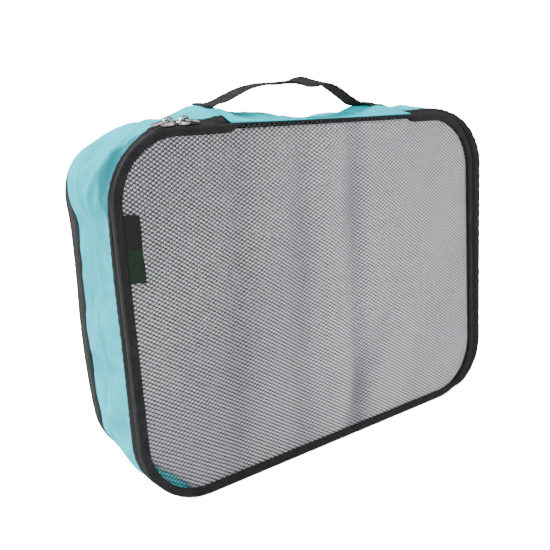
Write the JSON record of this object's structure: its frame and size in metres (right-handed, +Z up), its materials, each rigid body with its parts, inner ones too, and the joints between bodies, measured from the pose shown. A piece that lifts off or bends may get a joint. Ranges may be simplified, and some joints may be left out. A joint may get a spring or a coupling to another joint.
{
  "type": "packing cube",
  "caption": "Soft rectangular travel packing cube with a net lid hinged along the top, a two-way zip with two pull sliders, taped edges and a webbing carry handle.",
  "frame": {"origin": "under the middle of the cube, on the surface it stands on", "axes": "+X along the cube's length, +Z up towards the handle, the net lid faces -Y"},
  "size_m": [0.35, 0.088, 0.2913],
  "materials": {
    "nylon": "light coated turquoise nylon, soft gloss",
    "tape": "black woven polyester tape, matt",
    "coil": "black nylon zip coil",
    "net": "dark grey knitted net over a pale backing",
    "webbing": "black woven webbing",
    "nickel": "bright nickel plate",
    "label": "plain woven label, black over dark green"
  },
  "bodies": {
    "case": {"back_panel": "nylon", "back_edging": "tape", "side_gusset": "nylon", "hinge_gusset": "nylon", "seam_tape_left": "tape", "seam_tape_right": "tape", "zip_tape_case": "tape", "zip_coil_case": "coil", "zip_tape_lid_end": "tape", "zip_coil_lid_end": "coil", "zip_stop_left": "nickel", "zip_stop_right": "nickel", "handle_foot_left": "webbing", "handle_foot_right": "webbing", "handle_leg_left": "webbing", "handle_leg_right": "webbing"},
    "lid": {"net_panel": "net", "lid_edging": "tape", "zip_tape_lid": "tape", "zip_coil_lid": "coil", "side_label": "label"},
    "slider_left": {"slider_left_body": "nickel", "slider_left_loop": "nickel"},
    "slider_right": {"slider_right_body": "nickel", "slider_right_loop": "nickel"},
    "pull_left": {"slider_left_pull": "nickel"},
    "pull_right": {"slider_right_pull": "nickel"},
    "handle": {"handle_strap": "webbing"}
  },
  "joints": [
    {"name": "lid_hinge", "type": "hinge", "parent": "case", "child": "lid", "pos_m": [0, -0.044, 0.26], "axis": [-1, 0, 0], "range_deg": [0, 170]},
    {"name": "slider_left_turn", "type": "hinge", "parent": "case", "child": "slider_left", "pos_m": [-0.125, -0.0404, 0.21], "axis": [0, -1, 0], "range_deg": [0, 84]},
    {"name": "slider_right_slide", "type": "slide", "parent": "case", "child": "slider_right", "axis": [1, 0, 0], "range_m": [0, 0.018]},
    {"name": "pull_left_lift", "type": "hinge", "parent": "slider_left", "child": "pull_left", "pos_m": [-0.13034, -0.0404, 0.26353], "axis": [0, 1, 0], "range_deg": [0, 105]},
    {"name": "pull_right_lift", "type": "hinge", "parent": "slider_right", "child": "pull_right", "pos_m": [-0.1185, -0.0404, 0.2638], "axis": [0, -1, 0], "range_deg": [0, 105]},
    {"name": "handle_swing", "type": "hinge", "parent": "case", "child": "handle", "pos_m": [0, -0.009, 0.2725], "axis": [1, 0, 0], "range_deg": [-50, 60], "deforming": ["handle_leg_left", "handle_leg_right"]}
  ]
}
